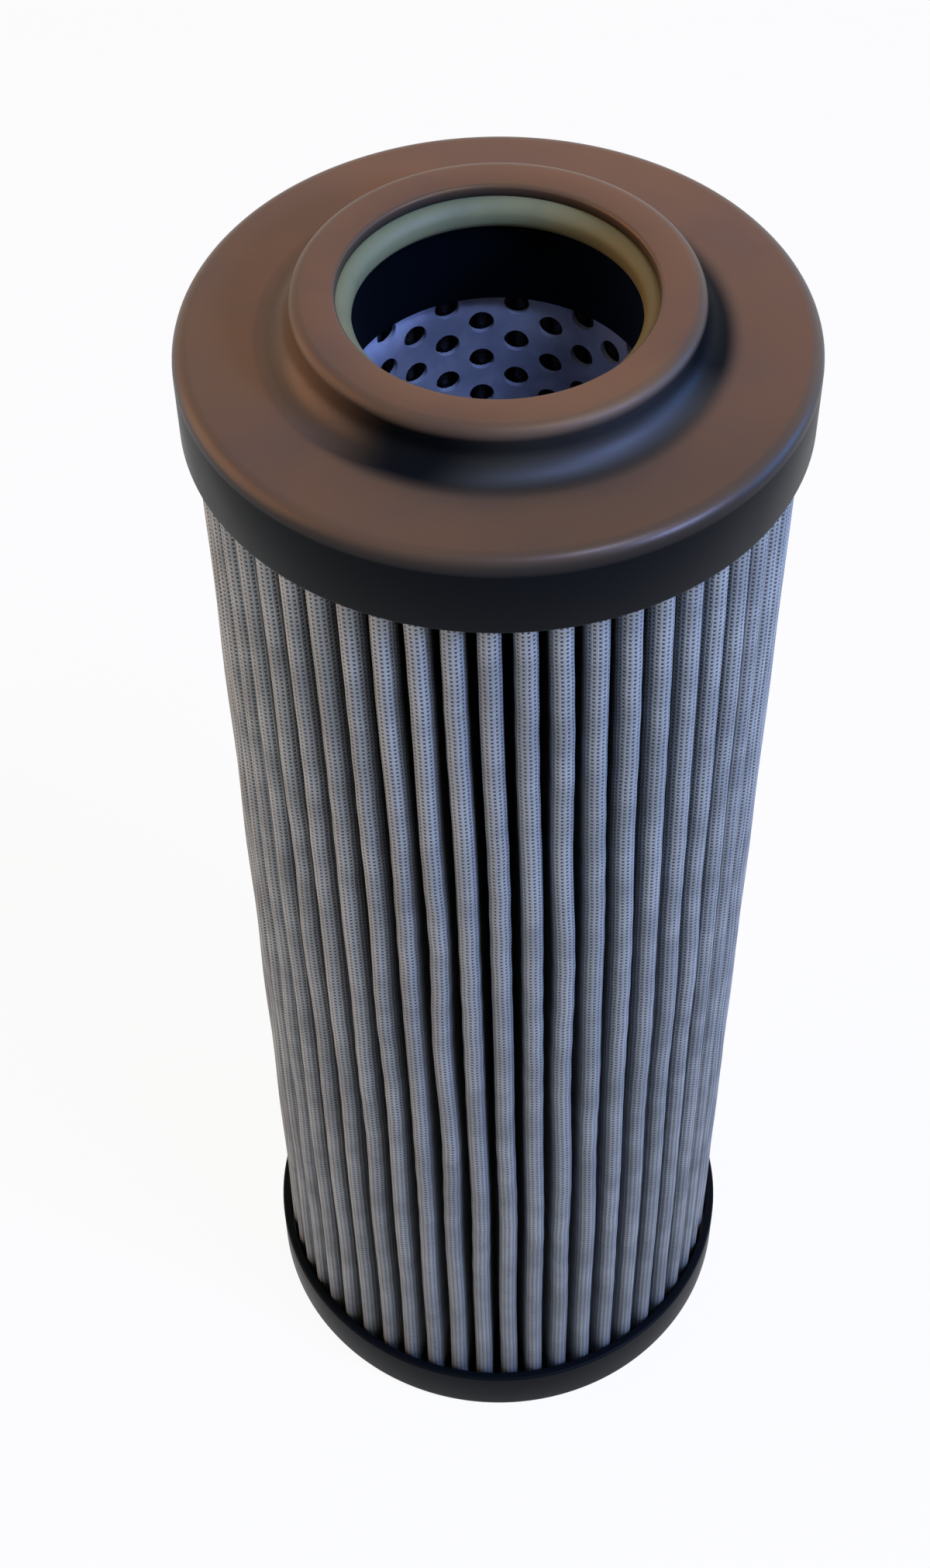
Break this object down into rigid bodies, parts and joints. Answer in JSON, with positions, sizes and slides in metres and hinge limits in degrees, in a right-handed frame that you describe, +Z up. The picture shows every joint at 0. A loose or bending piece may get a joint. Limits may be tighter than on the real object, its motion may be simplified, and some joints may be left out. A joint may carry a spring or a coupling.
{
  "type": "pleated filter element",
  "caption": "Cylindrical pleated filter element with wire mesh faced pleats, two dark end caps, a perforated core tube and a seal ring in its open collar.",
  "frame": {"origin": "centre of the closed bottom cap's flat underside", "axes": "+Z up the element's axis to the open collar; +Y towards the side of the pack's seam"},
  "size_m": [0.068, 0.068, 0.1885],
  "materials": {
    "moulded_polyamide": "moulded, satin, brownish black",
    "seal_rubber": "moulded, pale grey-green, matte",
    "zinc_plated_steel": "rolled perforated sheet, zinc plated, blue-grey",
    "woven_wire": "fine woven wire, grey",
    "fleece": "bonded polyester fleece, off-white",
    "glass_fibre": "resin-bonded glass fibre felt, off-white",
    "clip_steel": "folded tinned strip",
    "adhesive": "cured epoxy, black"
  },
  "bodies": {
    "root": {"top_end_cap": "moulded_polyamide", "bottom_end_cap": "moulded_polyamide", "bore_seal_ring": "seal_rubber", "core_tube": "zinc_plated_steel", "outer_support_mesh": "woven_wire", "outer_fleece": "fleece", "filter_media": "glass_fibre", "inner_fleece": "fleece", "inner_support_mesh": "woven_wire", "pleat_seam_clip": "clip_steel", "top_adhesive_bed": "adhesive", "bottom_adhesive_bed": "adhesive"}
  },
  "joints": []
}
